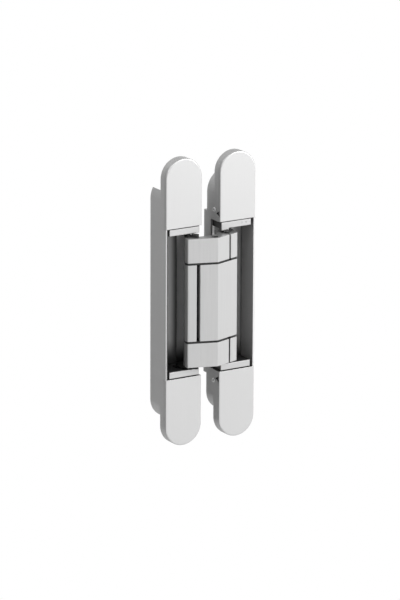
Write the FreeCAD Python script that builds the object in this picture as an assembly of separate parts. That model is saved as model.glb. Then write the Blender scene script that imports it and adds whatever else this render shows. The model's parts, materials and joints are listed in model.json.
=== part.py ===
import FreeCAD, Part
import math
import os

from FreeCAD import Vector

# Concealed door hinge with two crossed arms, shown open at 180 degrees.
# X runs from the frame side (negative) to the door side (positive), Y into the wood, Z up.
# The origin is on the visible faces, midway between the two housings and at half height.
# All sizes are in millimetres.

# Faces and cover caps
face_width = 28.0
face_length = 200.0
side_gap = 14.0
cap_length = 47.5
cap_thickness = 3.3
cap_wall = 1.3
cap_rim_radius = 0.9
flange_thickness = 4.0
clip_width = 6.0
seam = 0.1

# Housings
casing_end_inset = 15.6
casing_depth = 21.0
casing_end_depth = 16.8
deep_overlap = 4.6
side_wall = 1.4
back_wall = 1.6
foot_length = 8.4
scoop_radius = 9.5
channel_width = 8.6
channel_depth = 0.6
window_depth = 11.9
corner_flat_inset = 6.8
corner_flat_angle = 36.0
corner_flat_length = 6.0
casing_edge_radius = 0.6
lip_edge_radius = 0.4

# Fixing holes
outer_hole_inset = 8.0
inner_hole_inset = 9.4
fixing_hole_radius = 2.5
countersink_radius = 4.6
countersink_depth = 2.1

# Carrier blocks, which hold the pins in each housing
nose_length = 5.1
nose_gap = 0.5
block_outer_gap = 1.7
block_inner_gap = 0.2
block_front = 0.5
block_under_cap = 0.4
block_end_gap = 0.6
block_edge = 0.3
tab_width = 6.0
tab_drop = 1.2

# Clamp screws through the blocks and side screws through the inner walls
clamp_screw_radius = 1.5
clamp_head_radius = 2.9
clamp_head_height = 2.6
clamp_socket_radius = 1.5
clamp_socket_depth = 1.5
clamp_screw_offset = 7.0
clamp_screw_inset = 7.5
clamp_screw_bite = 1.0
side_screw_radius = 1.5
side_screw_depth = 7.0
side_screw_offset = 7.5
side_screw_stand = 0.7
side_screw_round = 0.6
side_screw_bite = 2.2
side_socket_radius = 0.75
notch_length = 4.2
notch_depth = 4.8
notch_reach = 0.9

# Crossed arms, in the open position
pivot_inset = 5.0
pivot_depth = 9.0
crossing_front = 5.5
guide_inset = 9.0
guide_depth = 3.0
closed_gap = 4.4
ridge_front = 9.8
roof_slope = 0.33
frame_end_inset = 13.0
door_end_inset = 11.9
cheek_back = 0.2
fork_reach = 11.0
centre_reach = 11.8
knuckle_start_door = 12.1
knuckle_start_frame = 13.6
arm_block_gap = 2.6
storey_share = 0.61
joint_gap = 1.5
arm_edge_radius = 1.2
cheek_radius = 0.6
shoulder_radius = 0.7
barrel_radius = 3.2
hub_radius = 4.4
guide_end_radius = 2.6
leg_width = 3.0
leg_side_gap = 0.7

# Pins, bushes and washers
pivot_pin_radius = 2.0
crossing_pin_radius = 2.2
guide_pin_radius = 1.5
pin_seat = 3.2
pin_chamfer = 0.4
pin_recess = 0.3
guide_washer_height = 0.8
plate_inset = 0.4
running_clearance = 0.05
guide_clearance = 0.1
bush_wall = 0.9
bush_length = 9.6

# Worked out from the sizes above
inner_x = side_gap / 2
outer_x = inner_x + face_width
middle_x = inner_x + face_width / 2
end_radius = face_width / 2
cap_end = face_length / 2
cap_start = cap_end - cap_length
cap_centre_z = cap_end - end_radius
flange_back = cap_thickness + flange_thickness
casing_half_length = cap_end - casing_end_inset
casing_centre_z = casing_half_length - end_radius
deep_half_length = cap_start + deep_overlap
pocket_half_length = deep_half_length + foot_length
outer_hole_z = cap_end - outer_hole_inset
inner_hole_z = casing_half_length - inner_hole_inset
corner_flat_height = casing_half_length - corner_flat_inset
pocket_inner = inner_x + side_wall
pocket_outer = outer_x - side_wall
pocket_floor = casing_depth - back_wall
pocket_end_floor = casing_end_depth - back_wall
block_inner = pocket_inner + block_inner_gap
block_outer = pocket_outer - block_outer_gap
foot_back = pocket_end_floor - running_clearance
nose_back = pocket_floor - running_clearance
block_end = pocket_half_length - block_end_gap
block_nose_edge = cap_start - nose_length
ridge_half_length = block_nose_edge - seam
clamp_screw_height = cap_start + clamp_screw_offset
side_screw_height = cap_start + side_screw_offset
arm_half_height = block_nose_edge - arm_block_gap
joint_half_height = storey_share * arm_half_height
frame_end = inner_x + frame_end_inset
door_end = inner_x + door_end_inset
centre_half_height = joint_half_height - joint_gap / 2
ear_bottom = joint_half_height + joint_gap / 2
far = 4 * face_width
overshoot = 1.0
tiny = 1e-6
path_steps = 12

pivot_point = Vector(inner_x + pivot_inset, pivot_depth, 0)
guide_point = Vector(inner_x + guide_inset, guide_depth, 0)
frame_guide_point = Vector(-guide_point.x, guide_depth, 0)
crossing_point = Vector(0, -crossing_front, 0)


def roof(x):
    """Front face of the arms, highest at the ridge between the housings."""
    return -ridge_front + roof_slope * abs(x)


def arm_turns():
    """Turn of each arm against the two housings as the door closes by half a turn."""
    arm = crossing_point - Vector(-pivot_point.x, pivot_point.y, 0)
    start = math.atan2(arm.x, -arm.y)
    finish = math.acos((closed_gap / 2 + pivot_depth) / arm.Length)
    near = start + finish
    return near, math.pi - near


def turned(point, centre, angle):
    """Point turned about a vertical axis."""
    arm = point - centre
    c = math.cos(angle)
    s = math.sin(angle)
    return centre + Vector(c * arm.x - s * arm.y, s * arm.x + c * arm.y, 0)


def guide_path():
    """Places of the guide pin in the door housing from open to closed."""
    near, rest = arm_turns()
    path = []
    for i in range(path_steps + 1):
        share = i / path_steps
        crossing = turned(crossing_point, pivot_point, near * share)
        arm = turned(guide_point - crossing_point, Vector(), rest * share)
        path.append(crossing + arm)
    return path


def rounded_outline(corners):
    """Closed wire through corners (x, y, radius) in a plan view."""
    points = [Vector(x, y, 0) for x, y, radius in corners]
    count = len(points)
    starts = []
    ends = []
    for i, (x, y, radius) in enumerate(corners):
        here = points[i]
        back = (points[i - 1] - here).normalize()
        ahead = (points[(i + 1) % count] - here).normalize()
        half = math.acos(max(-1.0, min(1.0, back.dot(ahead)))) / 2
        reach = radius / math.tan(half)
        starts.append(here + back * reach)
        ends.append(here + ahead * reach)
    edges = []
    for i, (x, y, radius) in enumerate(corners):
        if (ends[i] - starts[i]).Length > tiny:
            middle = starts[i] + ends[i] - points[i] * 2
            centre = points[i] + middle.normalize() * math.hypot(radius, (starts[i] - points[i]).Length)
            nearest = centre + (points[i] - centre).normalize() * radius
            edges.append(Part.Arc(starts[i], nearest, ends[i]).toShape())
        following = starts[(i + 1) % count]
        if (following - ends[i]).Length > tiny:
            edges.append(Part.makeLine(ends[i], following))
    return Part.Wire(edges)


def upright(wire, low, high):
    """Solid that stands on a plan outline."""
    wire.translate(Vector(0, 0, low))
    return Part.Face(wire).extrude(Vector(0, 0, high - low))


def pin(centre, radius, low, high):
    """Upright round solid."""
    return Part.makeCylinder(radius, high - low, Vector(centre.x, centre.y, low))


def ring(centre, outer, inner, low, high):
    """Upright round solid with a bore."""
    return pin(centre, outer, low, high).cut(pin(centre, inner, low, high))


def chamfered_pin(centre, radius, low, high, chamfer):
    """Pin with a chamfer at both ends."""
    body = pin(centre, radius, low + chamfer, high - chamfer)
    tip = radius - chamfer
    top = Part.makeCone(radius, tip, chamfer, Vector(centre.x, centre.y, high - chamfer))
    foot = Part.makeCone(tip, radius, chamfer, Vector(centre.x, centre.y, low))
    return body.fuse([top, foot]).removeSplitter()


def box(x0, x1, y0, y1, z0, z1):
    """Block between two corners."""
    return Part.makeBox(x1 - x0, y1 - y0, z1 - z0, Vector(x0, y0, z0))


def stadium(centre_x, radius, centre_z, y0, y1):
    """Plate with two round ends, standing upright."""
    left = centre_x - radius
    right = centre_x + radius
    top = Vector(centre_x, y0, centre_z + radius)
    foot = Vector(centre_x, y0, -centre_z - radius)
    edges = [
        Part.makeLine(Vector(left, y0, -centre_z), Vector(left, y0, centre_z)),
        Part.Arc(Vector(left, y0, centre_z), top, Vector(right, y0, centre_z)).toShape(),
        Part.makeLine(Vector(right, y0, centre_z), Vector(right, y0, -centre_z)),
        Part.Arc(Vector(right, y0, -centre_z), foot, Vector(left, y0, -centre_z)).toShape(),
    ]
    return Part.Face(Part.Wire(edges)).extrude(Vector(0, y1 - y0, 0))


def round_ended_plate(radius, start, y0, y1):
    """Upper cap outline: straight at the foot, round at the top."""
    left = middle_x - radius
    right = middle_x + radius
    top = Vector(middle_x, y0, cap_centre_z + radius)
    edges = [
        Part.makeLine(Vector(left, y0, start), Vector(left, y0, cap_centre_z)),
        Part.Arc(Vector(left, y0, cap_centre_z), top, Vector(right, y0, cap_centre_z)).toShape(),
        Part.makeLine(Vector(right, y0, cap_centre_z), Vector(right, y0, start)),
        Part.makeLine(Vector(right, y0, start), Vector(left, y0, start)),
    ]
    return Part.Face(Part.Wire(edges)).extrude(Vector(0, y1 - y0, 0))


def edges_where(shape, test):
    """Edges whose two ends and middle all pass a test."""
    found = []
    for edge in shape.Edges:
        first, last = edge.ParameterRange
        places = [edge.valueAt(first), edge.valueAt((first + last) / 2), edge.valueAt(last)]
        if all(test(place) for place in places):
            found.append(edge)
    return found


def upside_down(shape):
    """Same shape at the lower end."""
    return shape.mirror(Vector(0, 0, 0), Vector(0, 0, 1))


def frame_side(shape):
    """Same shape on the frame side."""
    return shape.mirror(Vector(0, 0, 0), Vector(1, 0, 0))


def pry_notch():
    """Small wedge under the cap's edge on the inner side, where a blade lifts the cap."""
    low = side_screw_height - notch_length
    corners = [
        Vector(inner_x - overshoot, block_front, low),
        Vector(inner_x - overshoot, notch_depth, low + notch_length / 2),
        Vector(inner_x - overshoot, block_front, side_screw_height),
    ]
    face = Part.Face(Part.makePolygon(corners + corners[:1]))
    return face.extrude(Vector(overshoot + notch_reach, 0, 0))


def cover_cap():
    """Snap-on cover over the fixing screws, hollow behind, with a sharp straight edge."""
    body = round_ended_plate(end_radius, cap_start, 0, cap_thickness)
    front_edges = edges_where(body, lambda p: abs(p.y) < tiny)
    rim = [edge for edge in front_edges if edge.CenterOfMass.z > cap_start + tiny]
    body = body.makeFillet(cap_rim_radius, rim)
    inside = round_ended_plate(end_radius - cap_wall, cap_start + cap_wall,
                               cap_wall, cap_thickness + overshoot)
    body = body.cut(inside)
    clip_low = cap_centre_z - 2 * cap_wall
    clip = box(middle_x - clip_width / 2, middle_x + clip_width / 2, cap_wall, cap_thickness,
               clip_low, clip_low + cap_wall)
    body = body.fuse(clip).cut(pry_notch())
    return body.removeSplitter()


def housing():
    """Cast housing of the door side: flange, casing, pocket and fixing holes."""
    body = stadium(middle_x, end_radius, cap_centre_z, cap_thickness, flange_back)
    front = box(inner_x, outer_x, 0, flange_back, -cap_start + seam, cap_start - seam)
    casing = stadium(middle_x, end_radius, casing_centre_z, flange_back, casing_depth)
    back_edges = edges_where(casing, lambda p: abs(p.y - casing_depth) < tiny)
    casing = casing.makeFillet(casing_edge_radius, back_edges)
    body = body.fuse([front, casing])
    body = body.cut([end_slope(1), end_slope(-1)])
    body = body.cut(pocket())
    window_half = cap_start - seam
    body = body.cut(box(inner_x - overshoot, pocket_inner + seam, -overshoot, window_depth,
                        -window_half, window_half))
    body = body.cut(fixing_holes())
    body = body.cut(screw_holes())
    body = body.cut([pry_notch(), upside_down(pry_notch())])
    lip = edges_where(body, lambda p: abs(p.y) < tiny and abs(p.z) < cap_start and p.x > outer_x - tiny)
    return body.makeFillet(lip_edge_radius, lip).removeSplitter()


def end_slope(side):
    """Wedge that thins the casing's end towards its inner side, beyond the pocket."""
    fall = (casing_depth - casing_end_depth) / face_width
    start = side * deep_half_length
    corners = [
        Vector(inner_x - overshoot, casing_end_depth - fall * overshoot, start),
        Vector(outer_x, casing_depth, start),
        Vector(outer_x, casing_depth + overshoot, start),
        Vector(inner_x - overshoot, casing_depth + overshoot, start),
    ]
    return Part.Face(Part.makePolygon(corners + corners[:1])).extrude(Vector(0, 0, side * far))


def pocket():
    """Hollow for the folded arms: a round scoop, a flat channel beside it and room for the blocks."""
    half = ridge_half_length
    scoop_centre = Vector(pocket_outer - scoop_radius, pocket_floor - scoop_radius, 0)
    mouth = box(pocket_inner, pocket_outer, -overshoot, scoop_centre.y, -half, half)
    scoop = pin(scoop_centre, scoop_radius, -half, half)
    channel = box(pocket_inner, pocket_inner + channel_width, -overshoot, pocket_floor + channel_depth,
                  -half, half)
    nose_room = upright(rounded_outline([
        (pocket_inner, -overshoot, 0),
        (pocket_outer, -overshoot, 0),
        (pocket_outer, pocket_floor, scoop_radius),
        (pocket_inner, pocket_floor, 0),
    ]), half, deep_half_length - side_wall)
    foot_room = box(pocket_inner, pocket_outer, -overshoot, pocket_end_floor,
                    -pocket_half_length, pocket_half_length)
    return mouth.fuse([scoop, channel, nose_room, upside_down(nose_room), foot_room]).removeSplitter()


def fixing_holes():
    """Countersunk holes for the wood screws, through flange and casing."""
    cutters = []
    for height, back in ((outer_hole_z, flange_back), (inner_hole_z, casing_depth)):
        for side in (1, -1):
            start = Vector(middle_x, 0, side * height)
            cutters.append(Part.makeCylinder(fixing_hole_radius, back + overshoot, start, Vector(0, 1, 0)))
            sink = Vector(middle_x, cap_thickness, side * height)
            cutters.append(Part.makeCone(countersink_radius, fixing_hole_radius, countersink_depth,
                                         sink, Vector(0, 1, 0)))
    return cutters[0].fuse(cutters[1:])


def clamp_screw_places():
    """Centres of the clamp screws in the door housing."""
    places = []
    for side in (1, -1):
        for x in (pocket_inner + clamp_screw_inset, pocket_outer - clamp_screw_inset):
            places.append(Vector(x, 0, side * clamp_screw_height))
    return places


def screw_holes():
    """Holes in the casing for the clamp screws and the side screws."""
    cutters = []
    for place in clamp_screw_places():
        start = Vector(place.x, pocket_end_floor - overshoot, place.z)
        length = overshoot + clamp_screw_bite
        cutters.append(Part.makeCylinder(clamp_screw_radius, length, start, Vector(0, 1, 0)))
    for side in (1, -1):
        start = Vector(inner_x - overshoot, side_screw_depth, side * side_screw_height)
        length = overshoot + side_wall + seam
        cutters.append(Part.makeCylinder(side_screw_radius, length, start, Vector(1, 0, 0)))
    return cutters[0].fuse(cutters[1:])


def clamp_screws():
    """Socket head screws that hold the blocks down on the casing."""
    screws = []
    top = cap_thickness + block_under_cap
    for place in clamp_screw_places():
        head_start = Vector(place.x, top, place.z)
        head = Part.makeCylinder(clamp_head_radius, clamp_head_height, head_start, Vector(0, 1, 0))
        length = pocket_end_floor + clamp_screw_bite - top
        shank = Part.makeCylinder(clamp_screw_radius, length, head_start, Vector(0, 1, 0))
        socket = hexagon(clamp_socket_radius, clamp_socket_depth)
        socket.rotate(Vector(), Vector(1, 0, 0), -90)
        socket.translate(head_start)
        screws.append(head.fuse(shank).cut(socket).removeSplitter())
    return screws


def hexagon(radius, depth):
    """Hexagon prism on the XY plane."""
    corners = []
    for i in range(6):
        angle = math.radians(60 * i)
        corners.append(Vector(radius * math.cos(angle), radius * math.sin(angle), 0))
    return Part.Face(Part.makePolygon(corners + corners[:1])).extrude(Vector(0, 0, depth))


def side_screws():
    """Round-ended screws through the inner wall that press on the blocks."""
    screws = []
    for side in (1, -1):
        start = Vector(inner_x - side_screw_stand, side_screw_depth, side * side_screw_height)
        length = side_screw_stand + side_wall + block_inner_gap + side_screw_bite
        body = Part.makeCylinder(side_screw_radius, length, start, Vector(1, 0, 0))
        shown_rim = edges_where(body, lambda p: abs(p.x - start.x) < tiny)
        body = body.makeFillet(side_screw_round, shown_rim)
        socket = hexagon(side_socket_radius, side_screw_radius)
        socket.rotate(Vector(), Vector(0, 1, 0), 90)
        socket.translate(start)
        screws.append(body.cut(socket))
    return screws


def guide_slot():
    """Curved slot that the guide pin follows, cut into the face of a block."""
    half = guide_pin_radius + guide_clearance
    path = guide_path()
    near = []
    away = []
    for i, place in enumerate(path):
        before = path[max(i - 1, 0)]
        after = path[min(i + 1, len(path) - 1)]
        along = (after - before).normalize()
        across = Vector(-along.y, along.x, 0) * half
        near.append(place + across)
        away.append(place - across)
    near_curve = Part.BSplineCurve()
    near_curve.interpolate(near)
    away_curve = Part.BSplineCurve()
    away_curve.interpolate(list(reversed(away)))
    first = (path[0] - path[1]).normalize() * half
    last = (path[-1] - path[-2]).normalize() * half
    edges = [
        near_curve.toShape(),
        Part.Arc(near[-1], path[-1] + last, away[-1]).toShape(),
        away_curve.toShape(),
        Part.Arc(away[0], path[0] + first, near[0]).toShape(),
    ]
    return upright(Part.Wire(edges), block_nose_edge - tab_drop - overshoot, block_nose_edge + pin_seat)


def block(with_tab):
    """Upper carrier block: a nose beside the cap and a foot under it."""
    nose_end = cap_start - nose_gap
    nose = box(block_inner, block_outer, block_front, nose_back, block_nose_edge, nose_end)
    back_corner = edges_where(nose, lambda p: abs(p.y - nose_back) < tiny and p.x > block_outer - tiny)
    nose = nose.makeFillet(scoop_radius, back_corner)
    rim = edges_where(nose, lambda p: abs(p.y - block_front) < tiny)
    nose = nose.makeChamfer(block_edge, rim)
    top = cap_thickness + block_under_cap
    foot = box(block_inner, block_outer, top, foot_back, nose_end - seam, block_end)
    body = nose.fuse(foot)
    if with_tab:
        tab = box(block_inner, block_inner + tab_width, block_front, top,
                  block_nose_edge - tab_drop, block_nose_edge + overshoot)
        corner = edges_where(tab, lambda p: abs(p.y - block_front) < tiny)
        body = body.fuse(tab.makeChamfer(block_edge, corner))
    seat = pin(pivot_point, pivot_pin_radius, block_nose_edge - overshoot, block_nose_edge + pin_seat)
    body = body.cut([seat, guide_slot()])
    for place in clamp_screw_places():
        if place.z > 0:
            start = Vector(place.x, top - overshoot, place.z)
            bore = Part.makeCylinder(clamp_screw_radius, far, start, Vector(0, 1, 0))
            sink = Part.makeCylinder(clamp_head_radius, overshoot + clamp_head_height, start, Vector(0, 1, 0))
            body = body.cut([bore, sink])
    start = Vector(block_inner - overshoot, side_screw_depth, side_screw_height)
    dent = Part.makeCylinder(side_screw_radius, overshoot + side_screw_bite, start, Vector(1, 0, 0))
    return body.cut(dent).removeSplitter()


def arm_outline(front_end, reach):
    """Plan of an arm whose deep end is on the door side and front end on the frame side."""
    leg_outer = block_inner + seam + leg_width
    leg_inner = block_inner + running_clearance
    hub_back = hub_radius - crossing_front
    guide_near = guide_end_radius - guide_point.x
    guide_away = -guide_end_radius - guide_point.x
    return rounded_outline([
        (0, roof(0), shoulder_radius),
        (-front_end, roof(front_end), arm_edge_radius),
        (-front_end, cheek_back, cheek_radius),
        (guide_away, guide_depth, 0),
        (guide_near, guide_depth, 0),
        (guide_near, guide_depth - guide_end_radius, hub_radius / 2),
        (-hub_radius, hub_back, hub_radius / 2),
        (hub_radius / 2, hub_back, hub_radius / 2),
        (leg_inner, guide_depth, leg_width / 2),
        (leg_inner, pivot_depth, 0),
        (pivot_point.x + barrel_radius, pivot_depth, 0),
        (leg_outer, pivot_depth - barrel_radius - seam, barrel_radius),
        (leg_outer, roof(reach) + leg_side_gap + leg_width, leg_width),
        (reach, roof(reach), shoulder_radius),
    ])


def arm_layer(front_end, reach, low, high):
    """One storey of an arm, with its round ends."""
    body = upright(arm_outline(front_end, reach), low, high)
    body = body.fuse([
        pin(pivot_point, barrel_radius, low, high),
        pin(frame_guide_point, guide_end_radius, low, high),
    ])
    return body.removeSplitter()


def drill_arm(body, crossing_bore):
    """Bores for the pivot pin, the guide pin and the crossing pin."""
    reach = arm_half_height + overshoot
    return body.cut([
        pin(pivot_point, pivot_pin_radius + bush_wall, -reach, reach),
        pin(frame_guide_point, guide_pin_radius, -reach, reach),
        pin(crossing_point, crossing_bore, -reach, reach),
    ])


def fork_arm():
    """Arm with two ears above and below the centre arm, joined by its barrel."""
    upper = arm_layer(frame_end, fork_reach, ear_bottom, arm_half_height)
    barrel = pin(pivot_point, barrel_radius, -arm_half_height, arm_half_height)
    body = upper.fuse([upside_down(upper), barrel]).removeSplitter()
    return drill_arm(body, crossing_pin_radius)


def centre_arm():
    """Arm that lies between the ears of the fork, with a barrel of full height."""
    layer = arm_layer(door_end, centre_reach, -centre_half_height, centre_half_height)
    barrel = pin(pivot_point, barrel_radius, -arm_half_height, arm_half_height)
    body = drill_arm(layer.fuse(barrel).removeSplitter(), crossing_pin_radius + running_clearance)
    return frame_side(body)


def knuckle(start, end, low, high):
    """Filler beside an arm's front end, flush with the roof, on the door side's guide pin."""
    side = guide_point.x - guide_end_radius
    outline = rounded_outline([
        (start, roof(start), shoulder_radius),
        (end, roof(end), arm_edge_radius),
        (end, cheek_back, cheek_radius),
        (guide_point.x + guide_end_radius, guide_depth, 0),
        (side, guide_depth, 0),
        (side, cheek_back, guide_end_radius / 2),
        (start, -guide_end_radius / 2, guide_end_radius / 2),
    ])
    body = upright(outline, low, high)
    body = body.fuse(pin(guide_point, guide_end_radius, low, high))
    return body.cut(pin(guide_point, guide_pin_radius, low, high)).removeSplitter()


def pivot_pin():
    """Fixed pin of a housing, held in both blocks."""
    half = block_nose_edge + pin_seat
    return chamfered_pin(pivot_point, pivot_pin_radius, -half, half, pin_chamfer)


def guide_pin():
    """Pin through an arm's front end whose tips run in the curved slots."""
    half = block_nose_edge + pin_seat - pin_recess
    return chamfered_pin(guide_point, guide_pin_radius, -half, half, pin_chamfer)


def crossing_pin():
    """Pin where the arms cross, fixed in the fork."""
    half = arm_half_height - pin_recess
    return chamfered_pin(crossing_point, crossing_pin_radius, -half, half, pin_chamfer)


def pivot_bushes():
    """Plain bearings in a barrel, with a collar that fills the gap to each block."""
    bore = pivot_pin_radius + running_clearance
    outer = pivot_pin_radius + bush_wall
    low = arm_half_height - bush_length
    collar_top = block_nose_edge - running_clearance
    sleeve = ring(pivot_point, outer, bore, low, arm_half_height)
    collar = ring(pivot_point, barrel_radius, bore, arm_half_height, collar_top)
    upper = sleeve.fuse(collar).removeSplitter()
    return [upper, upside_down(upper)]


def guide_washers():
    """Washers on a guide pin, above and below the knuckles."""
    top = arm_half_height + guide_washer_height
    upper = ring(guide_point, guide_end_radius, guide_pin_radius, arm_half_height, top)
    return [upper, upside_down(upper)]


def thrust_washers():
    """Black slide plates between the centre arm and the ears of the fork."""
    hub_back = hub_radius - crossing_front
    end = frame_end - plate_inset
    reach = fork_reach - plate_inset
    outline = rounded_outline([
        (0, roof(0) + plate_inset, shoulder_radius),
        (-end, roof(end) + plate_inset, arm_edge_radius),
        (-end, cheek_back, 0),
        (guide_end_radius - guide_point.x, cheek_back, 0),
        (-hub_radius, hub_back, 0),
        (reach, hub_back, 0),
        (reach, roof(reach) + plate_inset, shoulder_radius),
    ])
    low = centre_half_height + running_clearance
    upper = upright(outline, low, ear_bottom).cut(pin(crossing_point, crossing_pin_radius, 0, far))
    return [upper, upside_down(upper)]


def knuckle_washers():
    """Black plates between the centre arm and the door side's knuckles."""
    start = knuckle_start_door + plate_inset
    end = door_end - plate_inset
    outline = rounded_outline([
        (start, roof(start) + plate_inset, shoulder_radius),
        (end, roof(end) + plate_inset, arm_edge_radius),
        (end, cheek_back, 0),
        (start, cheek_back - guide_end_radius / 2, 0),
    ])
    upper = upright(outline, centre_half_height, ear_bottom)
    return [upper, upside_down(upper)]


def with_corner_flat(body):
    """Frame housing's casing with a slanted relief at its upper outer corner."""
    start_x = -middle_x - math.sqrt(end_radius ** 2 - (corner_flat_height - casing_centre_z) ** 2)
    wall_x = start_x + corner_flat_length
    drop = corner_flat_length * math.tan(math.radians(corner_flat_angle))
    corners = [
        Vector(start_x, flange_back, corner_flat_height),
        Vector(wall_x, flange_back, corner_flat_height - drop),
        Vector(wall_x, flange_back, face_length),
        Vector(-outer_x - overshoot, flange_back, face_length),
        Vector(-outer_x - overshoot, flange_back, corner_flat_height),
    ]
    cutter = Part.Face(Part.makePolygon(corners + corners[:1])).extrude(Vector(0, casing_depth, 0))
    return body.cut(cutter).removeSplitter()


def save(name, shapes):
    """Write one node, which may hold several separate solids."""
    if not isinstance(shapes, list):
        shapes = [shapes]
    solids = [solid for shape in shapes for solid in shape.Solids]
    shape = solids[0] if len(solids) == 1 else Part.makeCompound(solids)
    shape.exportStep("parts/" + name + ".step")
    print(name, len(solids), "solids", "valid" if shape.isValid() else "NOT VALID",
          round(shape.Volume, 1), "mm3")


def main():
    """Build every piece and write it."""
    os.makedirs("parts", exist_ok=True)
    door_housing = housing()
    save("door_housing", door_housing)
    save("frame_housing", with_corner_flat(frame_side(door_housing)))
    cap = cover_cap()
    plain_block = block(False)
    tab_block = block(True)
    save("door_upper_cap", cap)
    save("door_lower_cap", upside_down(cap))
    save("frame_upper_cap", frame_side(cap))
    save("frame_lower_cap", frame_side(upside_down(cap)))
    save("door_upper_block", tab_block)
    save("door_lower_block", upside_down(plain_block))
    save("frame_upper_block", frame_side(plain_block))
    save("frame_lower_block", frame_side(upside_down(plain_block)))
    save("door_clamp_screws", clamp_screws())
    save("frame_clamp_screws", [frame_side(screw) for screw in clamp_screws()])
    save("door_side_screws", side_screws())
    save("frame_side_screws", [frame_side(screw) for screw in side_screws()])
    save("fork_arm", fork_arm())
    save("centre_arm", centre_arm())
    save("door_upper_knuckle", knuckle(knuckle_start_door, door_end, ear_bottom, arm_half_height))
    save("door_lower_knuckle", knuckle(knuckle_start_door, door_end, -arm_half_height, -ear_bottom))
    middle_knuckle = knuckle(knuckle_start_frame, frame_end, -centre_half_height, centre_half_height)
    save("frame_middle_knuckle", frame_side(middle_knuckle))
    save("door_pivot_pin", pivot_pin())
    save("frame_pivot_pin", frame_side(pivot_pin()))
    save("door_guide_pin", guide_pin())
    save("frame_guide_pin", frame_side(guide_pin()))
    save("crossing_pin", crossing_pin())
    save("door_pivot_bushes", pivot_bushes())
    save("frame_pivot_bushes", [frame_side(bush) for bush in pivot_bushes()])
    save("door_guide_washers", guide_washers())
    save("frame_guide_washers", [frame_side(washer) for washer in guide_washers()])
    save("thrust_washers", thrust_washers())
    save("knuckle_washers", knuckle_washers())
    near, rest = arm_turns()
    print("arm against its own housing", round(math.degrees(near), 3), "degrees, against the other",
          round(math.degrees(rest), 3))


main()
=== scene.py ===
# %% [markdown]
# # A concealed door hinge
# The hinge is stored open flat. Two long housings with round ends stand side by side. One is let into the
# door frame and the other into the door edge, and crossed arms carry the door between them.
# The solids come packed from the CAD source. This lesson gives them their finishes, adds two small things
# that the source leaves out, and sets up a light and a camera like those of a catalogue photograph.

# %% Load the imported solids
import json
import math

import bmesh
import bpy
from mathutils import Matrix, Vector


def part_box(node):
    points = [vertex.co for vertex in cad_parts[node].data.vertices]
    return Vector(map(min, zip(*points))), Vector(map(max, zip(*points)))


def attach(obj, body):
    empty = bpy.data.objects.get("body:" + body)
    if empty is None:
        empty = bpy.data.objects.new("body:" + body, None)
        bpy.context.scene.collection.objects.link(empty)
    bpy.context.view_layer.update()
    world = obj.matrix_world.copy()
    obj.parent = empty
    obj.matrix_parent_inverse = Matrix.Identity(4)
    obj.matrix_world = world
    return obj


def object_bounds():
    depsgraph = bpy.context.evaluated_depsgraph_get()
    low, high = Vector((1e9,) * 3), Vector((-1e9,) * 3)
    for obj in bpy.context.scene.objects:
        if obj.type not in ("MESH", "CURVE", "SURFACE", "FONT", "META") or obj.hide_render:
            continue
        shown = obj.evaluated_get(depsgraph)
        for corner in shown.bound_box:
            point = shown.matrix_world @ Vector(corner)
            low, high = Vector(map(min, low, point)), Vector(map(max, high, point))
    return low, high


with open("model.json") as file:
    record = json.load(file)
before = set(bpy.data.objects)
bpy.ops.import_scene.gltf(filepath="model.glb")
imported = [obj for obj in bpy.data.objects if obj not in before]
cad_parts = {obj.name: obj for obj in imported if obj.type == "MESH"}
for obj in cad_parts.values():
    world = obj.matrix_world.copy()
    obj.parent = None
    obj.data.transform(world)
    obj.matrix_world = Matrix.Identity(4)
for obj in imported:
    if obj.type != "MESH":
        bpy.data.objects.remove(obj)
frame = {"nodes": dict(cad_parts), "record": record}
nodes = frame["nodes"]
low_corner, high_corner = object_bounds()
print("nodes", len(nodes), "size", [round(v, 4) for v in high_corner - low_corner])

# %% [markdown]
# ## Measures taken from the solids
# The additions and the shades are placed from the boxes of the solids, so that a change in the source carries
# through. X runs from the frame side to the door side, Y into the wood and Z up. The two sides mirror each
# other, so the door side's boxes are enough.

# %% Places on the hinge
millimetre = 0.001
cap_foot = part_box("door_upper_cap")[0].z
arm_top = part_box("fork_arm")[1].z
block_low, block_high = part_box("door_upper_block")
housing_low, housing_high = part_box("door_housing")
inner_side = housing_low.x
outer_side = housing_high.x
print("sides at", round(inner_side, 4), round(outer_side, 4), "cap foot at", round(cap_foot, 4))

# %% [markdown]
# ## Nodes for materials
# A material is a small graph. The helpers below add a node and fill in its sockets, by name or in order,
# which keeps each recipe short enough to read as a list of steps.


# %% Helpers that add nodes
def connect(tree, socket, value):
    """Link a socket to another one, or write a number, a vector or a colour into it."""
    if isinstance(value, bpy.types.NodeSocket):
        tree.links.new(value, socket)
    else:
        socket.default_value = value


def add(tree, kind, settings=None, **sockets):
    """Add a node; `settings` are its properties and the rest are socket values or links."""
    node = tree.nodes.new(kind)
    for name, value in (settings or {}).items():
        setattr(node, name, value)
    for name, value in sockets.items():
        connect(tree, node.inputs[name.replace("_", " ")], value)
    return node


def calculate(tree, operation, *values, kind="ShaderNodeMath", result=0):
    """The result of one step of arithmetic on numbers, vectors or sockets."""
    node = add(tree, kind, {"operation": operation})
    for socket, value in zip(node.inputs, values):
        connect(tree, socket, value)
    return node.outputs[result]


# %% [markdown]
# ## Groups of nodes
# An effect that several finishes need, such as brushing, is built once as a group with named sockets. Each
# material then places the group with values of its own.


# %% Helpers for groups
def new_group(name, **inputs):
    """An empty shader group. An input's first value also tells its kind."""
    group = bpy.data.node_groups.new(name, "ShaderNodeTree")
    for socket_name, value in inputs.items():
        kind = "NodeSocketFloat" if isinstance(value, float) else "NodeSocketVector"
        socket = group.interface.new_socket(socket_name, in_out="INPUT", socket_type=kind)
        socket.default_value = value
    return group


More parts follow.
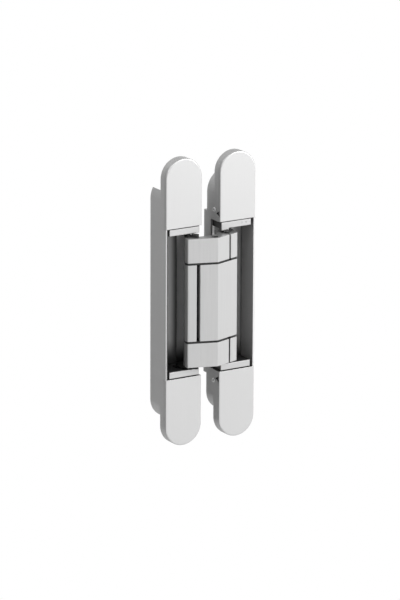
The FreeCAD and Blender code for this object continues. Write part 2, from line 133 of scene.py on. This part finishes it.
def close_group(group, **results):
    """Give a group its named results."""
    for name, socket in results.items():
        kind = "NodeSocketVector" if socket.type == "VECTOR" else "NodeSocketFloat"
        group.interface.new_socket(name, in_out="OUTPUT", socket_type=kind)
    end = group.nodes.new("NodeGroupOutput")
    for name, socket in results.items():
        group.links.new(socket, end.inputs[name])
    print("group", group.name, "gives", ", ".join(results))


def place_group(tree, group, **sockets):
    """Put a group into a material."""
    return add(tree, "ShaderNodeGroup", {"node_tree": group}, **sockets)


# %% [markdown]
# ## Brushing
# The arms and the caps were finished on an abrasive belt, which leaves fine scratches that all run one way.
# A noise texture that is stretched along that way makes them. The group gives a value for the bump and
# another, slower one for the uneven tone, so each metal can use as much of either as it needs.

# %% The group for brushed metal
slow_share = 0.12
brushing = new_group("brushing", Along=(1.0, 1.0, 1.0), Fineness=9000.0)
start = brushing.nodes.new("NodeGroupInput")
place = add(brushing, "ShaderNodeTexCoord")
stretched = calculate(brushing, "MULTIPLY", place.outputs["Object"], start.outputs["Along"],
                      kind="ShaderNodeVectorMath")
scratches = add(brushing, "ShaderNodeTexNoise", Vector=stretched, Scale=start.outputs["Fineness"],
                Detail=4.0, Roughness=0.65)
slower = calculate(brushing, "MULTIPLY", start.outputs["Fineness"], slow_share)
tone = add(brushing, "ShaderNodeTexNoise", Vector=stretched, Scale=slower, Detail=2.0, Roughness=0.5)
close_group(brushing, Scratches=scratches.outputs[0], Tone=tone.outputs[0])


# %% [markdown]
# ## Soft edges
# No real edge is perfectly sharp. The Bevel node bends the shading normal near an edge, so a thin line of
# light appears there without any change to the solid. Where the bent normal and the true one differ, the
# edge is also a little brighter, as plating wears there first. Map Range turns the likeness of the two into
# a share, and many of the later masks are made by it as well.


# %% The group for soft edges
def ramp(tree, value, start, end, kind="SMOOTHSTEP"):
    """A climb from zero at `start` to one at `end`."""
    return add(tree, "ShaderNodeMapRange", {"interpolation_type": kind}, Value=value, From_Min=start,
               From_Max=end).outputs[0]


slight_bend = 0.98
full_bend = 0.80
soft_edge = new_group("soft_edge", Radius=0.3 * millimetre)
start = soft_edge.nodes.new("NodeGroupInput")
rounded = add(soft_edge, "ShaderNodeBevel", {"samples": 6}, Radius=start.outputs["Radius"])
facing = add(soft_edge, "ShaderNodeNewGeometry")
likeness = calculate(soft_edge, "DOT_PRODUCT", rounded.outputs[0], facing.outputs["Normal"],
                     kind="ShaderNodeVectorMath", result="Value")
edge_share = ramp(soft_edge, likeness, slight_bend, full_bend, "LINEAR")
close_group(soft_edge, Normal=rounded.outputs[0], Edge=edge_share)

# %% [markdown]
# ## Cast skin
# The housings are cast zinc under a thin silver lacquer. Close up the skin is slightly pebbled and the
# lacquer holds fine metal flakes. One noise gives the pebbles, and a much finer cell texture the flakes.

# %% The group for the cast skin
flake_fineness = 7000.0
cast_skin = new_group("cast_skin", Fineness=900.0)
start = cast_skin.nodes.new("NodeGroupInput")
place = add(cast_skin, "ShaderNodeTexCoord")
pebbles = add(cast_skin, "ShaderNodeTexNoise", Vector=place.outputs["Object"],
              Scale=start.outputs["Fineness"], Detail=3.0, Roughness=0.55)
flakes = add(cast_skin, "ShaderNodeTexVoronoi", Vector=place.outputs["Object"], Scale=flake_fineness)
flake_tone = add(cast_skin, "ShaderNodeSeparateColor", Color=flakes.outputs["Color"])
close_group(cast_skin, Pebbles=pebbles.outputs[0], Flakes=flake_tone.outputs[0])

# %% [markdown]
# ## Inside of the pockets
# The pockets need tones of their own, and their dark tones are painted shade. A group tells the lacquer where
# a point lies. Both housings mirror each other, so the group works with the distance from the middle plane,
# and asks for the side only where they differ. Its first part finds the pocket itself, whose tones set in
# gradually with the depth.


# %% Where the pockets are
def between(tree, value, low, high):
    """One inside a span of a coordinate and zero outside it."""
    above_low = calculate(tree, "GREATER_THAN", value, low)
    below_high = calculate(tree, "LESS_THAN", value, high)
    return calculate(tree, "MULTIPLY", above_low, below_high)


def all_of(tree, first, *others):
    """The product of several shares."""
    result = first
    for other in others:
        result = calculate(tree, "MULTIPLY", result, other)
    return result


rim_wall = 1.45 * millimetre
pocket_end = 4.0 * millimetre
pocket_floor = housing_high.y - 0.7 * millimetre
under_rim = 0.4 * millimetre
shade_depth = 9.0 * millimetre
pocket_inner = inner_side + rim_wall
pocket_outer = outer_side - rim_wall
pocket_shade = new_group("pocket_shade")
place = add(pocket_shade, "ShaderNodeTexCoord")
point = add(pocket_shade, "ShaderNodeSeparateXYZ", Vector=place.outputs["Object"])
across, depth, level = point.outputs
from_middle = calculate(pocket_shade, "ABSOLUTE", across)
from_centre = calculate(pocket_shade, "ABSOLUTE", level)
inside = all_of(
    pocket_shade,
    between(pocket_shade, from_middle, pocket_inner, pocket_outer),
    between(pocket_shade, depth, under_rim, pocket_floor),
    calculate(pocket_shade, "LESS_THAN", from_centre, cap_foot + pocket_end),
)
inside_fade = all_of(pocket_shade, inside, ramp(pocket_shade, depth, 0.0, shade_depth))
print("pocket from", round(pocket_inner, 4), "to", round(pocket_outer, 4), "floor at", round(pocket_floor, 4))

# %% [markdown]
# ## Painted shade at the ridge and the outer wall
# A ridge parts each pocket into a round scoop and a shallow channel. Shade is painted in the scoop towards
# the ridge, weaker on the door side. The scoop is painted darker again where it climbs the outer wall, and
# that wall's painted shade starts nearer to the ridge on the frame side.


# %% Painted ridge shade, channel and wall
def by_side(tree, door_side, frame_value, door_value):
    """A value that differs between the two sides."""
    return add(tree, "ShaderNodeMapRange", Value=door_side, To_Min=frame_value, To_Max=door_value).outputs[0]


ridge_place = inner_side + 9.0 * millimetre
ridge_shade_start = ridge_place + 6.2 * millimetre
ridge_shade_full = ridge_place + 1.2 * millimetre
frame_ridge_shade = 1.0
door_ridge_shade = 0.30
frame_wall_start = ridge_place + 6.0 * millimetre
door_wall_start = pocket_outer - 2.5 * millimetre
door_side = calculate(pocket_shade, "GREATER_THAN", across, 0.0)
# Painted shade in the scoop towards the ridge.
ridge_shade = all_of(
    pocket_shade,
    inside,
    between(pocket_shade, from_middle, ridge_place, pocket_outer),
    ramp(pocket_shade, from_middle, ridge_shade_start, ridge_shade_full, "LINEAR"),
    by_side(pocket_shade, door_side, frame_ridge_shade, door_ridge_shade),
)
channel = between(pocket_shade, from_middle, pocket_inner, ridge_place)
# Painted shade where the scoop climbs the outer wall.
wall_start = by_side(pocket_shade, door_side, frame_wall_start, door_wall_start)
near_wall = ramp(pocket_shade, from_middle, wall_start, pocket_outer)
print("ridge at", round(ridge_place, 4))

# %% [markdown]
# ## The low end, the rim and the notches
# Shadow is also painted at the low end of each pocket, along a slightly slanting line. The narrow rim beside
# a pocket is painted with a highlight on its outer part and with shade on the rest. Beside the side screws
# each casing has small notches in its inner wall, which are painted dark as shade.

# %% Low end, rim and notches
# Painted shadow at the low end of each pocket, along a slanting line.
low_slant = 0.12
low_start = -0.58 * cap_foot
low_full = -0.90 * cap_foot
slanted = calculate(pocket_shade, "MULTIPLY_ADD", across, low_slant, level)
low_end = all_of(pocket_shade, inside, ramp(pocket_shade, slanted, low_start, low_full))

# Painted highlight on the outer part of the rim, painted shade on the rest.
rim_depth = 0.35 * millimetre
front_start = -0.5
front_full = -0.7
frame_lip = outer_side - 0.65 * millimetre
door_lip = outer_side - 1.6 * millimetre
towards = add(pocket_shade, "ShaderNodeSeparateXYZ", Vector=place.outputs["Normal"])
front_rim = all_of(
    pocket_shade,
    ramp(pocket_shade, towards.outputs["Y"], front_start, front_full),
    calculate(pocket_shade, "LESS_THAN", depth, rim_depth),
)
lip_start = by_side(pocket_shade, door_side, frame_lip, door_lip)
lip = all_of(pocket_shade, front_rim, calculate(pocket_shade, "GREATER_THAN", from_middle, lip_start))

# Painted shade in the notches beside the side screws.
notch_skin = inner_side + 0.04 * millimetre
notch_reach = inner_side + 1.2 * millimetre
notch_depth = 9.0 * millimetre
notch_low = cap_foot - 6.0 * millimetre
notch_high = cap_foot + 14.0 * millimetre
notch = all_of(
    pocket_shade,
    between(pocket_shade, from_middle, notch_skin, notch_reach),
    between(pocket_shade, depth, under_rim, notch_depth),
    between(pocket_shade, from_centre, notch_low, notch_high),
)
close_group(pocket_shade, Inside=inside_fade, Grease=ridge_shade, Wall=near_wall, Channel=channel, Low=low_end,
            Rim=front_rim, Lip=lip, Notch=notch)

# %% [markdown]
# ## Painted shade in the seams
# Shade is painted where two pieces meet and in narrow gaps, which draws a dark line round every piece.
# The Ambient Occlusion node tells how closed in a point is, and only the most closed in ones turn dark.

# %% The group for the seams
half_open = 0.70
closed_in = 0.40
seam_shade = new_group("seam_shade", Reach=2.5 * millimetre)
start = seam_shade.nodes.new("NodeGroupInput")
openness = add(seam_shade, "ShaderNodeAmbientOcclusion", {"samples": 8}, Distance=start.outputs["Reach"])
close_group(seam_shade, Grime=ramp(seam_shade, openness.outputs["AO"], half_open, closed_in))


# %% [markdown]
# ## A material and its shader
# Every finish starts with the Principled shader that a new material brings, and ends with the same few
# sockets. Plain values are written on the shader itself, and only what varies over the surface is linked.
# The whole hinge is grey, so a colour is one number from black at 0 to white at 1. The Mix node holds sockets
# for several kinds of values: its colours are at places 6 and 7, and the mixed colour comes out at place 2.


# %% Helpers for materials
def grey(level):
    """A neutral colour."""
    return (level, level, level, 1.0)


def mixed(tree, share, first, second):
    """A colour between two others."""
    node = add(tree, "ShaderNodeMix", {"data_type": "RGBA"})
    for place, value in ((0, share), (6, first), (7, second)):
        connect(tree, node.inputs[place], value)
    return node.outputs[2]


def new_material(name):
    """A material, its node tree and its shader."""
    material = bpy.data.materials.new(name)
    material.use_nodes = True
    tree = material.node_tree
    return material, tree, tree.nodes["Principled BSDF"]


def set_shader(tree, shader, colour, metallic, roughness):
    """Link the colour and write the plain values."""
    tree.links.new(colour, shader.inputs["Base Color"])
    shader.inputs["Metallic"].default_value = metallic
    shader.inputs["Roughness"].default_value = roughness


def roughen(tree, shader, height, strength, depth, **normal):
    """Bend the light with a bump; `Normal` is a normal that is bent already."""
    bump = add(tree, "ShaderNodeBump", Height=height, Strength=strength, Distance=depth, **normal)
    tree.links.new(bump.outputs[0], shader.inputs["Normal"])


# %% [markdown]
# ## The brushed metals
# Caps, blocks and arms share one recipe with different values: the grain's direction, its strength, how
# metallic the plating is and how rough. The grain's direction is a vector whose small number marks the way
# the scratches run. Faces that look away from the front are painted darker as shade, near black on the
# blocks.


# %% The recipe for a brushed metal
worn_tone = grey(0.95)
# The colour of the painted shade in seams and gaps.
crevice_shade_tone = grey(0.02)
scratch_depth = 0.03 * millimetre
turning_away = -0.80
turned_far = -0.50


def off_front(tree, deepest=None):
    """Zero on faces that look to the front and lie no deeper than `deepest`, one on all others."""
    place = add(tree, "ShaderNodeTexCoord")
    towards = add(tree, "ShaderNodeSeparateXYZ", Vector=place.outputs["Normal"])
    turned_away = ramp(tree, towards.outputs["Y"], turning_away, turned_far)
    if deepest is None:
        return turned_away
    point = add(tree, "ShaderNodeSeparateXYZ", Vector=place.outputs["Object"])
    deeper = calculate(tree, "GREATER_THAN", point.outputs["Y"], deepest)
    return calculate(tree, "MAXIMUM", turned_away, deeper)


def brushed_metal(name, light, dark, worn, side, along, grain, metallic, roughness, edge_radius,
                  deepest=None):
    """A satin metal with scratches along one axis, soft worn edges and painted shade on faces off the front.
    """
    material, tree, shader = new_material(name)
    scratch = place_group(tree, brushing, Along=along)
    edges = place_group(tree, soft_edge, Radius=edge_radius)
    seam = place_group(tree, seam_shade)
    colour = mixed(tree, scratch.outputs["Tone"], grey(dark), grey(light))
    colour = mixed(tree, calculate(tree, "MULTIPLY", edges.outputs["Edge"], worn), colour, worn_tone)
    # Painted shade: faces off the front, and on the blocks the deeper faces, take the `side` tone.
    colour = mixed(tree, off_front(tree, deepest), colour, grey(side))
    # Painted shade in seams and gaps, from the Ambient Occlusion mask.
    colour = mixed(tree, seam.outputs["Grime"], colour, crevice_shade_tone)
    set_shader(tree, shader, colour, metallic, roughness)
    roughen(tree, shader, scratch.outputs["Scratches"], strength=grain, depth=scratch_depth,
            Normal=edges.outputs["Normal"])
    print("material", name)
    return material


upright_grain = (1.0, 1.0, 0.03)
level_grain = (0.03, 1.0, 1.0)
satin_chrome = brushed_metal("satin_chrome", light=0.70, dark=0.68, worn=0.3, side=0.42, along=upright_grain,
                             grain=0.06, metallic=0.60, roughness=0.45, edge_radius=0.3 * millimetre)
# Painted shade: the blocks' faces off the front and deeper than the front are near black.
belt_sanded_zinc = brushed_metal("belt_sanded_zinc", light=0.66, dark=0.60, worn=0.4, side=0.06,
                                 along=level_grain, grain=0.14, metallic=0.60, roughness=0.45,
                                 edge_radius=0.3 * millimetre, deepest=block_low.y + 1.0 * millimetre)
brushed_arm_metal = brushed_metal("brushed_arm_metal", light=0.71, dark=0.64, worn=0.5, side=0.35,
                                  along=upright_grain, grain=0.08, metallic=0.45, roughness=0.40,
                                  edge_radius=0.4 * millimetre)

# %% [markdown]
# ## The lacquered casting
# The lacquer scatters light more than the plated parts do, so this material is only partly metallic. The
# pocket's floor is mixed first, from the bare scoop, the outer wall painted dark as shade and the light
# channel.
# The masks of the pocket group then lay one tone after another over it, painted shade and a painted
# highlight.

# %% The silver lacquer
flake_tones = (grey(0.40), grey(0.46))
lacquer_edge = grey(0.72)
scoop_tone = grey(0.60)
wall_tone = grey(0.16)
channel_tone = grey(0.85)
# Painted shade for the ridge, the low end, the notches and the rim, and a painted highlight on the lip.
tone_of_mask = {
    "Grease": grey(0.03),
    "Low": grey(0.024),
    "Notch": grey(0.02),
    "Rim": grey(0.12),
    "Lip": grey(0.92),
}


def silver_lacquer(name):
    """Cast zinc under silver lacquer."""
    material, tree, shader = new_material(name)
    skin = place_group(tree, cast_skin)
    edges = place_group(tree, soft_edge, Radius=0.2 * millimetre)
    pocket = place_group(tree, pocket_shade)
    seam = place_group(tree, seam_shade, Reach=0.9 * millimetre)
    colour = mixed(tree, skin.outputs["Flakes"], *flake_tones)
    colour = mixed(tree, edges.outputs["Edge"], colour, lacquer_edge)
    # Painted shade: the outer wall's dark tone.
    inside_tone = mixed(tree, pocket.outputs["Wall"], scoop_tone, wall_tone)
    inside_tone = mixed(tree, pocket.outputs["Channel"], inside_tone, channel_tone)
    colour = mixed(tree, pocket.outputs["Inside"], colour, inside_tone)
    for mask, tone in tone_of_mask.items():
        colour = mixed(tree, pocket.outputs[mask], colour, tone)
    # Painted shade in seams and gaps, from the Ambient Occlusion mask.
    colour = mixed(tree, seam.outputs["Grime"], colour, crevice_shade_tone)
    set_shader(tree, shader, colour, metallic=0.35, roughness=0.45)
    roughen(tree, shader, skin.outputs["Pebbles"], strength=0.12, depth=0.05 * millimetre,
            Normal=edges.outputs["Normal"])
    print("material", name)
    return material


lacquer = silver_lacquer("silver_lacquer")

# %% [markdown]
# ## Turned and moulded small parts
# The pins were ground while they turned, so their marks are rings: a wave texture with bands along Z.
# The screws have a thin zinc plate that is a little blotchy, and the bushes and slide plates are a bearing
# plastic with a fine moulded haze.


# %% Steel, zinc plate and plastic
def ground_steel(name, light, dark, roughness):
    """Steel with fine rings round its axis."""
    material, tree, shader = new_material(name)
    place = add(tree, "ShaderNodeTexCoord")
    rings = add(tree, "ShaderNodeTexWave", {"bands_direction": "Z"}, Vector=place.outputs["Object"],
                Scale=1400.0, Distortion=1.5, Detail=2.0)
    colour = mixed(tree, rings.outputs["Fac"], grey(dark), grey(light))
    set_shader(tree, shader, colour, metallic=1.0, roughness=roughness)
    roughen(tree, shader, rings.outputs["Fac"], strength=0.1, depth=0.01 * millimetre)
    print("material", name)
    return material


def zinc_plate(name, light, dark, roughness):
    """Thin blotchy plating on screws."""
    material, tree, shader = new_material(name)
    place = add(tree, "ShaderNodeTexCoord")
    blotches = add(tree, "ShaderNodeTexNoise", Vector=place.outputs["Object"], Scale=1100.0, Detail=3.0)
    colour = mixed(tree, blotches.outputs[0], grey(dark), grey(light))
    set_shader(tree, shader, colour, metallic=0.9, roughness=roughness)
    roughen(tree, shader, blotches.outputs[0], strength=0.15, depth=0.02 * millimetre)
    print("material", name)
    return material


def moulded_plastic(name, light, dark, roughness):
    """Dull plastic with a fine haze."""
    material, tree, shader = new_material(name)
    place = add(tree, "ShaderNodeTexCoord")
    haze = add(tree, "ShaderNodeTexNoise", Vector=place.outputs["Object"], Scale=2500.0, Detail=2.0)
    colour = mixed(tree, haze.outputs[0], grey(dark), grey(light))
    set_shader(tree, shader, colour, metallic=0.0, roughness=roughness)
    print("material", name)
    return material


pin_steel = ground_steel("ground_steel", light=0.70, dark=0.58, roughness=0.28)
# Painted shade: a near-black copy of the ground steel, for the shade on the guides and in the punch marks.
shade_dark_steel = ground_steel("steel_dark_as_shade", light=0.08, dark=0.04, roughness=0.40)
screw_zinc = zinc_plate("zinc_plate", light=0.88, dark=0.70, roughness=0.35)
bush_plastic = moulded_plastic("bearing_plastic", light=0.60, dark=0.50, roughness=0.55)
# Near black, partly as painted shade: the slide pads also stand in for the shade under the blocks.
slide_plastic = moulded_plastic("slide_plastic", light=0.030, dark=0.018, roughness=0.55)

# %% [markdown]
# ## Who wears what
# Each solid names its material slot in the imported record, so one table from slot to material covers all.

# %% Give every solid its finish
finish_of_slot = {
    "housing_cast": lacquer,
    "cap_plate": satin_chrome,
    "block_cast": belt_sanded_zinc,
    "arm_cast": brushed_arm_metal,
    "pin_steel": pin_steel,
    "guide_steel": shade_dark_steel,
    "screw_steel": screw_zinc,
    "bush_polymer": bush_plastic,
    "black_polymer": slide_plastic,
}
for part in frame["record"]["subparts"]:
    mesh = nodes[part["node"]].data
    mesh.materials.clear()
    mesh.materials.append(finish_of_slot[part["material_slot"]])

# %% [markdown]
# ## Two punch marks
# Beside its tab, the door side's upper block has two small round dents, like those of a fitting jig. They are
# far too small for the source, so each is a shallow dish made from a circle that is pushed in at its middle.


# %% Make the punch marks
def new_piece(name, builder, material):
    """Turn a finished bmesh into an object at the origin."""
    mesh = bpy.data.meshes.new(name)
    builder.to_mesh(mesh)
    builder.free()
    piece = bpy.data.objects.new(name, mesh)
    piece.data.materials.append(material)
    bpy.context.scene.collection.objects.link(piece)
    print(name, len(mesh.polygons), "faces")
    return piece


mark_radius = 0.6 * millimetre
mark_dip = 0.2 * mark_radius
mark_lift = 0.02 * millimetre
mark_level = cap_foot - 2.5 * millimetre
mark_shares = (0.68, 0.83)
builder = bmesh.new()
for share in mark_shares:
    made = bmesh.ops.create_circle(builder, cap_ends=True, cap_tris=True, segments=20, radius=mark_radius)
    middle = min(made["verts"], key=lambda vertex: vertex.co.length)
    middle.co.z = -mark_dip
    centre = Vector((block_low.x + (block_high.x - block_low.x) * share, block_low.y - mark_lift, mark_level))
    to_front = Matrix.Translation(centre) @ Matrix.Rotation(math.radians(90), 4, "X")
    bmesh.ops.transform(builder, matrix=to_front, verts=made["verts"])
# The punch marks' near-black steel is painted shade in the dents.
punch_marks = new_piece("punch_marks", builder, shade_dark_steel)
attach(punch_marks, "door_side")

# %% [markdown]
# ## Slide pads on the arms' ends
# A short black pad stands out from each guide washer and keeps the arm off the block; its near-black colour
# also stands in for the shade under the block. It starts as a cylinder, whose one half is drawn out to a slot
# shape and whose rims are then bevelled. It clears the arm under it by a hair, and it is lower on the door
# side, where the block comes down further.

# %% Make the slide pads
pad_radius = 1.5 * millimetre
frame_pad_height = 2.2 * millimetre
door_pad_height = 1.3 * millimetre
pad_clearance = 0.03 * millimetre
pad_reach = 2.05 * millimetre
pad_distance = 3.9 * millimetre
pad_bevel = 0.12 * millimetre
near_zero = 0.001 * millimetre
frame_pad_turn = math.radians(-45)
door_pad_turn = math.radians(225)


def slide_pads(name, washers, turn, height, body):
    """One pad above the arm's end and one below it."""
    low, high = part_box(washers)
    middle = (low + high) / 2
    builder = bmesh.new()
    for end in (1, -1):
        made = bmesh.ops.create_cone(builder, cap_ends=True, cap_tris=False, segments=32, radius1=pad_radius,
                                     radius2=pad_radius, depth=height)
        outer_half = [vertex for vertex in made["verts"] if vertex.co.x > near_zero]
        bmesh.ops.translate(builder, vec=(pad_reach, 0, 0), verts=outer_half)
        level = end * (arm_top + pad_clearance + height / 2)
        turned = Matrix.Translation((middle.x, middle.y, level)) @ Matrix.Rotation(turn, 4, "Z")
        placed = turned @ Matrix.Translation((pad_distance, 0, 0))
        bmesh.ops.transform(builder, matrix=placed, verts=made["verts"])
    rims = [edge for edge in builder.edges if abs(edge.verts[0].co.z - edge.verts[1].co.z) < near_zero]
    bmesh.ops.bevel(builder, geom=rims, offset=pad_bevel, segments=2, profile=0.5, affect="EDGES",
                    material=-1)
    pads = new_piece(name, builder, slide_plastic)
    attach(pads, body)


slide_pads("fork_slide_pads", "frame_guide_washers", frame_pad_turn, frame_pad_height, "fork")
slide_pads("knuckle_slide_pads", "door_guide_washers", door_pad_turn, door_pad_height, "centre")

# %% [markdown]
# ## The studio
# The photograph shows the hinge on pure white with no shadow. The world is white to the camera and in
# reflections, and dimmer where it only lights the object, which the Light Path node tells apart.


# %% The world
def seen_directly(tree):
    """One for what the camera, a mirror or a glass sees, and zero for light on its way to the hinge."""
    ray = add(tree, "ShaderNodeLightPath")
    camera_or_mirror = calculate(tree, "MAXIMUM", ray.outputs["Is Camera Ray"], ray.outputs["Is Glossy Ray"])
    return calculate(tree, "MAXIMUM", camera_or_mirror, ray.outputs["Is Transmission Ray"])


fill_level = 0.22
bpy.context.scene.view_settings.view_transform = "Standard"
world = bpy.data.worlds.new("studio_world")
bpy.context.scene.world = world
world.use_nodes = True
tree = world.node_tree
tree.nodes.clear()
sky = mixed(tree, seen_directly(tree), grey(fill_level), grey(1.0))
background = add(tree, "ShaderNodeBackground", Color=sky, Strength=1.0)
add(tree, "ShaderNodeOutputWorld", Surface=background.outputs[0])
print("fill level", fill_level)


# %% [markdown]
# ## The floor and the grey card
# The floor lies well below the hinge, as white paper does under a part on a clear stand. It is white wherever
# it is seen and takes light like paper. A grey card on the left, which the camera doesn't see, gives the side
# walls their tone.


# %% Place the floor and the grey card
def sheet(name, width, depth, place, turn_y, material):
    """A flat sheet of the studio, not part of the hinge."""
    builder = bmesh.new()
    made = bmesh.ops.create_grid(builder, x_segments=1, y_segments=1, size=0.5)
    bmesh.ops.scale(builder, vec=(width, depth, 1.0), verts=made["verts"])
    turned = Matrix.Translation(place) @ Matrix.Rotation(turn_y, 4, "Y")
    bmesh.ops.transform(builder, matrix=turned, verts=made["verts"])
    piece = new_piece(name, builder, material)
    return piece


def stage_paper(name, tone):
    """Paper with a faint fibre and no gloss, a touch darker between the fibres."""
    material, tree, shader = new_material(name)
    fibre = add(tree, "ShaderNodeTexNoise", Scale=40.0, Detail=2.0)
    colour = mixed(tree, fibre.outputs[0], grey(tone * fibre_contrast), grey(tone))
    set_shader(tree, shader, colour, metallic=0.0, roughness=0.9)
    shader.inputs["Specular IOR Level"].default_value = 0.0
    return material


fibre_contrast = 0.97
height = high_corner.z - low_corner.z
floor_level = low_corner.z - 2.0 * height
floor_side = 60 * height
floor_paper = stage_paper("white_paper", 0.9)
tree = floor_paper.node_tree
paper_light = tree.nodes["Principled BSDF"].outputs[0]
white_light = add(tree, "ShaderNodeEmission", Color=grey(1.0), Strength=1.0).outputs[0]
seen_floor = tree.nodes.new("ShaderNodeMixShader")
for socket, value in zip(seen_floor.inputs, (seen_directly(tree), paper_light, white_light)):
    connect(tree, socket, value)
connect(tree, tree.nodes["Material Output"].inputs["Surface"], seen_floor.outputs[0])
sheet("floor", floor_side, floor_side, Vector((0, 0, floor_level)), 0.0, floor_paper)

card_height = 9 * height
card_depth = 12 * height
card_place = Vector((-3.0 * height, 2.0 * height, 0))
upright = math.radians(90)
card = sheet("grey_card", card_height, card_depth, card_place, upright, stage_paper("card_paper", 0.55))
card.visible_camera = False
print("floor at", round(floor_level, 3))


# %% [markdown]
# ## Lamps
# One large soft lamp stands in front on the right and a little above. A small one beside the hinge on the
# left lights only the side walls, and a weak one above evens out the tops. Their power is set for a plain
# level, at which a grey renders about as it is written.


# %% Place the lamps
def soft_lamp(name, power, size, place):
    """A square lamp that points at the hinge."""
    data = bpy.data.lights.new(name, "AREA")
    data.energy = power
    data.size = size
    lamp = bpy.data.objects.new(name, data)
    lamp.location = place
    lamp.rotation_mode = "QUATERNION"
    lamp.rotation_quaternion = (-Vector(place)).to_track_quat("-Z", "Y")
    bpy.context.scene.collection.objects.link(lamp)
    print(name, power, "watts")


soft_lamp("front_lamp", power=11.9, size=0.7, place=(0.86, -0.97, 0.45))
soft_lamp("left_lamp", power=2.4, size=0.4, place=(-0.5, 0.05, 0.45))
soft_lamp("top_lamp", power=1.0, size=0.8, place=(-0.2, -0.4, 1.3))

# %% [markdown]
# ## The camera
# The photograph was taken with a long lens from the left and above. The camera's turn, drop and tilt and
# its distance were found by matching corners of the hinge to their places in the picture.

# %% Place the camera
turn = math.radians(31.0)
drop = math.radians(15.83)
tilt = math.radians(0.25)
distance = 2.862
aside = 7.14 * millimetre
above = 0.7 * millimetre
picture_side = 36.0
lens_to_picture = 7.079
forward = Vector((math.sin(turn) * math.cos(drop), math.cos(turn) * math.cos(drop), -math.sin(drop)))
level_right = Vector((math.cos(turn), -math.sin(turn), 0.0))
level_up = level_right.cross(forward)
right = level_right * math.cos(tilt) + level_up * math.sin(tilt)
up = level_up * math.cos(tilt) - level_right * math.sin(tilt)
camera_data = bpy.data.cameras.new("camera")
camera_data.sensor_width = picture_side
camera_data.lens = picture_side * lens_to_picture
camera_data.clip_start = 0.1
camera_data.clip_end = 100.0
camera = bpy.data.objects.new("camera", camera_data)
bpy.context.scene.collection.objects.link(camera)
axes = Matrix((right, up, -forward)).transposed().to_4x4()
camera.matrix_world = Matrix.Translation(-forward * distance - right * aside - up * above) @ axes
bpy.context.scene.camera = camera
print("camera at", [round(v, 3) for v in camera.location])
